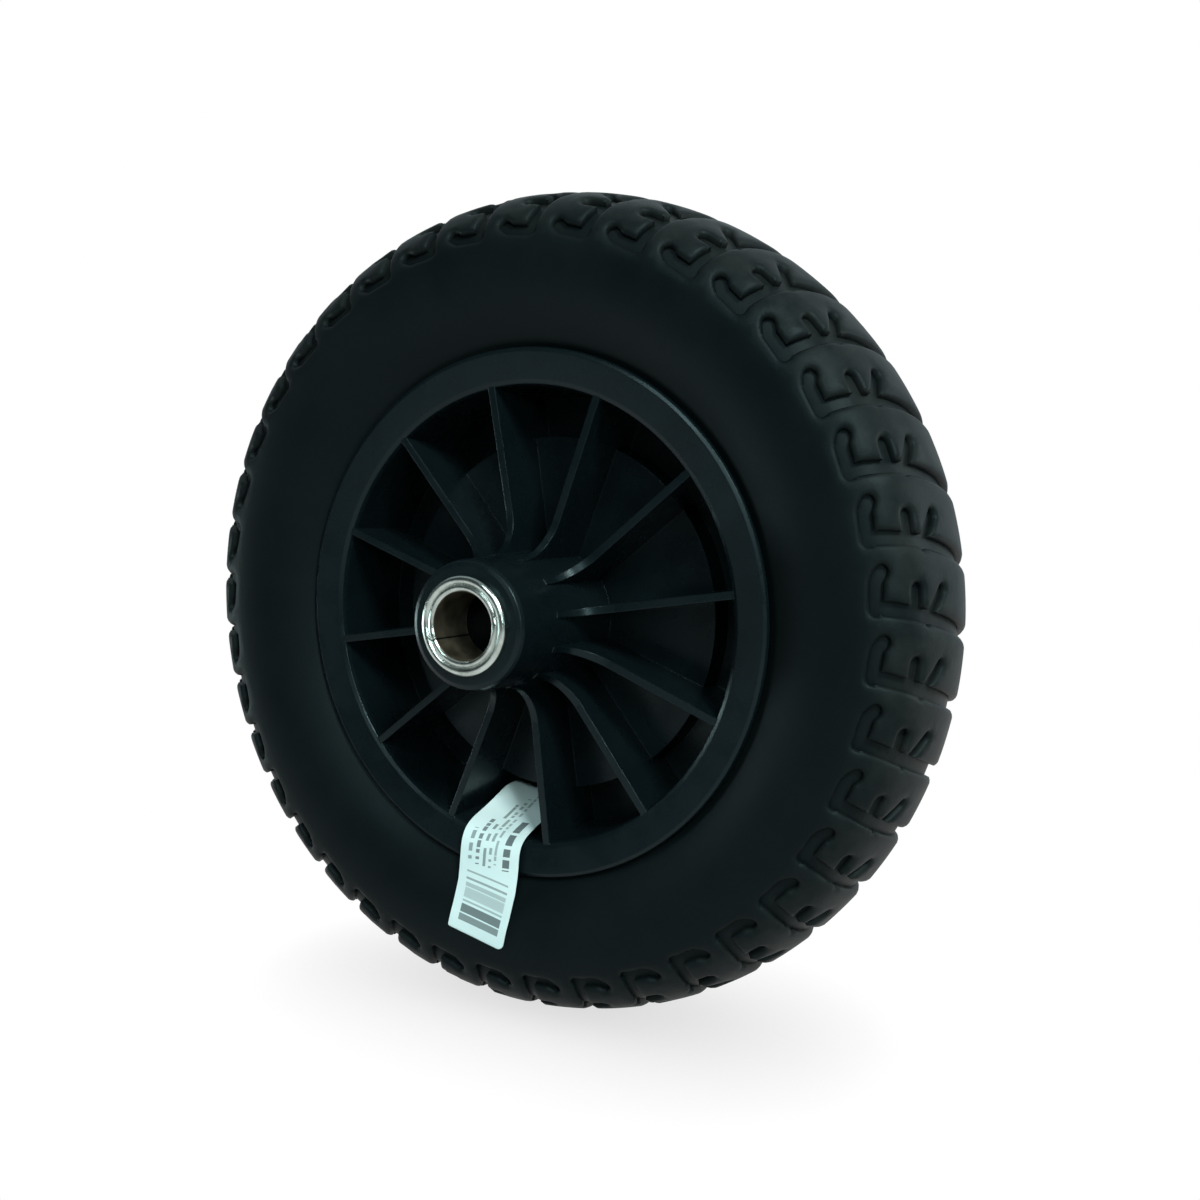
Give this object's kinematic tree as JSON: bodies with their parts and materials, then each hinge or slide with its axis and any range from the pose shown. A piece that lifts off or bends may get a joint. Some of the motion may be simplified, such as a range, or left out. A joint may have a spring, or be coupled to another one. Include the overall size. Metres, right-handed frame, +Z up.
{
  "type": "wheelbarrow wheel",
  "caption": "Puncture-proof wheelbarrow wheel: a solid foam tyre with a block tread on a ribbed one-piece plastic rim, with flanged steel bushes for a plain axle.",
  "frame": {"origin": "centre of the wheel, on the axle line at the middle of the rim's width", "axes": "+Y along the axle, away from the labelled face; +Z up; +X to the right seen from the labelled face"},
  "size_m": [0.35, 0.142, 0.35],
  "materials": {
    "tyre_foam": "matt moulded foam skin",
    "rim_plastic": "satin moulded",
    "bush_steel": "bright zinc plate",
    "label_paper": "matt paper"
  },
  "bodies": {
    "root": {"tyre": "tyre_foam", "rim": "rim_plastic", "front_bush": "bush_steel", "rear_bush": "bush_steel", "paper_label": "label_paper"}
  },
  "joints": []
}
